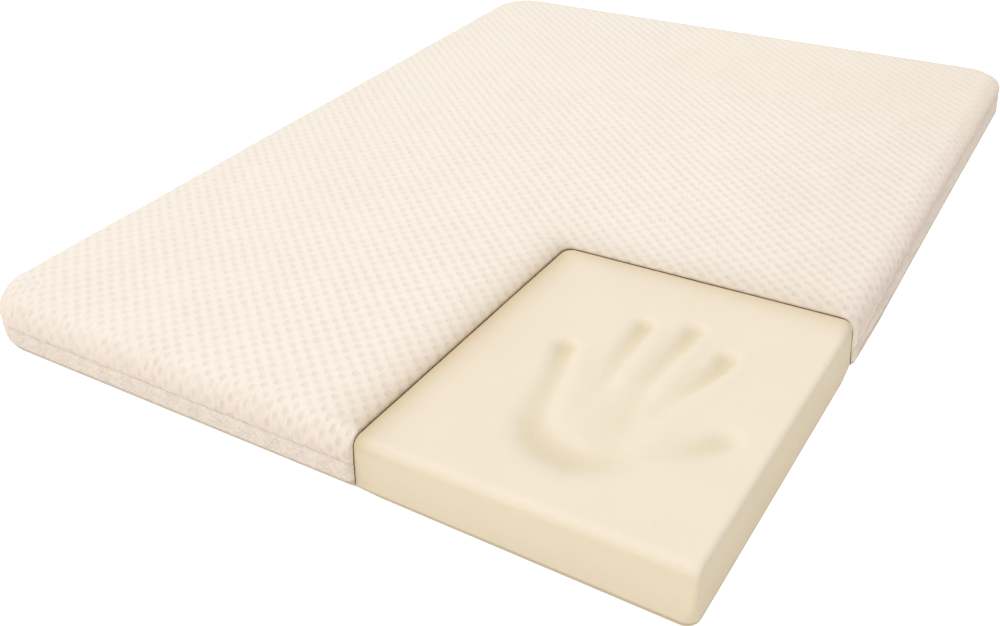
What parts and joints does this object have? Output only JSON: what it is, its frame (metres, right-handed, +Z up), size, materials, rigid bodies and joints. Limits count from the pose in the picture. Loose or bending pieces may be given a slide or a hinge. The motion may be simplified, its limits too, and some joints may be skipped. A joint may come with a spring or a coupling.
{
  "type": "mattress topper",
  "caption": "Mattress topper in a dimpled knitted cover with a plainer lower band; a corner of the cover is cut away to bare memory foam that keeps the print of a hand.",
  "frame": {"origin": "on the floor under the middle of the topper", "axes": "+Z up, +Y along the topper's length, +X across its width; the cut-away corner is the one at +X, -Y"},
  "size_m": [1.4, 1.9, 0.105],
  "materials": {
    "cream_foam": "matt open-cell foam with a dry, slightly velvety skin",
    "ivory_knit": "soft padded knit with diagonal rows of oval dimples",
    "ivory_band": "close knit with a fine diagonal rib"
  },
  "bodies": {
    "root": {"core": "cream_foam", "cover_top": "ivory_knit", "cover_base": "ivory_band"}
  },
  "joints": []
}
